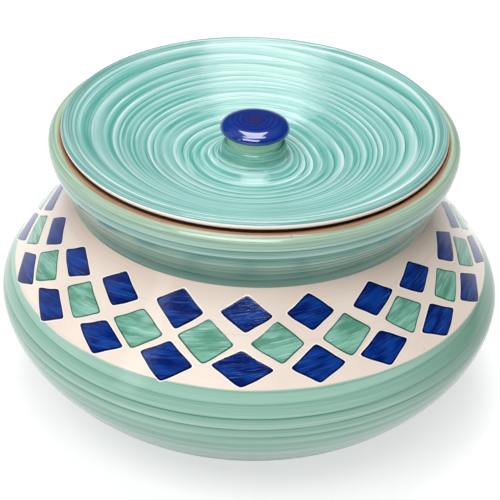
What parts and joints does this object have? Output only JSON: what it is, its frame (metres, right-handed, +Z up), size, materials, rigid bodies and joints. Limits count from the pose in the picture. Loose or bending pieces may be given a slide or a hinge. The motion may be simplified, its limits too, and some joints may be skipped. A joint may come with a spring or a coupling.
{
  "type": "lidded cooking pot",
  "caption": "Squat round-bellied glazed stoneware pot with a flared collar and a sunken lid that lifts off by its domed knob.",
  "frame": {"origin": "centre of the foot ring's flat underside, the lowest face of the pot", "axes": "+Z up along the axis that the pot is turned about; +X and +Y are free, because the pot is round"},
  "size_m": [0.2514, 0.2514, 0.1515],
  "materials": {
    "bare_clay": "unglazed fired stoneware, matt",
    "sage_glaze": "glossy sage green glaze with brushed rings",
    "cream_glaze": "glossy cream glaze painted with blue and green squares",
    "teal_glaze": "glossy teal green glaze with brushed rings",
    "turquoise_glaze": "glossy turquoise glaze with a brushed spiral",
    "olive_glaze": "glossy olive green glaze",
    "cobalt_glaze": "glossy cobalt blue glaze"
  },
  "bodies": {
    "pot": {"foot_ring": "bare_clay", "lower_bowl": "sage_glaze", "shoulder_band": "cream_glaze", "flared_collar": "teal_glaze", "lid_ledge": "bare_clay"},
    "lid": {"lid_dish": "turquoise_glaze", "knob_stem": "olive_glaze", "knob_cap": "cobalt_glaze"}
  },
  "joints": [
    {"name": "lid_lift", "type": "slide", "parent": "pot", "child": "lid", "axis": [0, 0, 1], "range_m": [0, 0.12]}
  ]
}
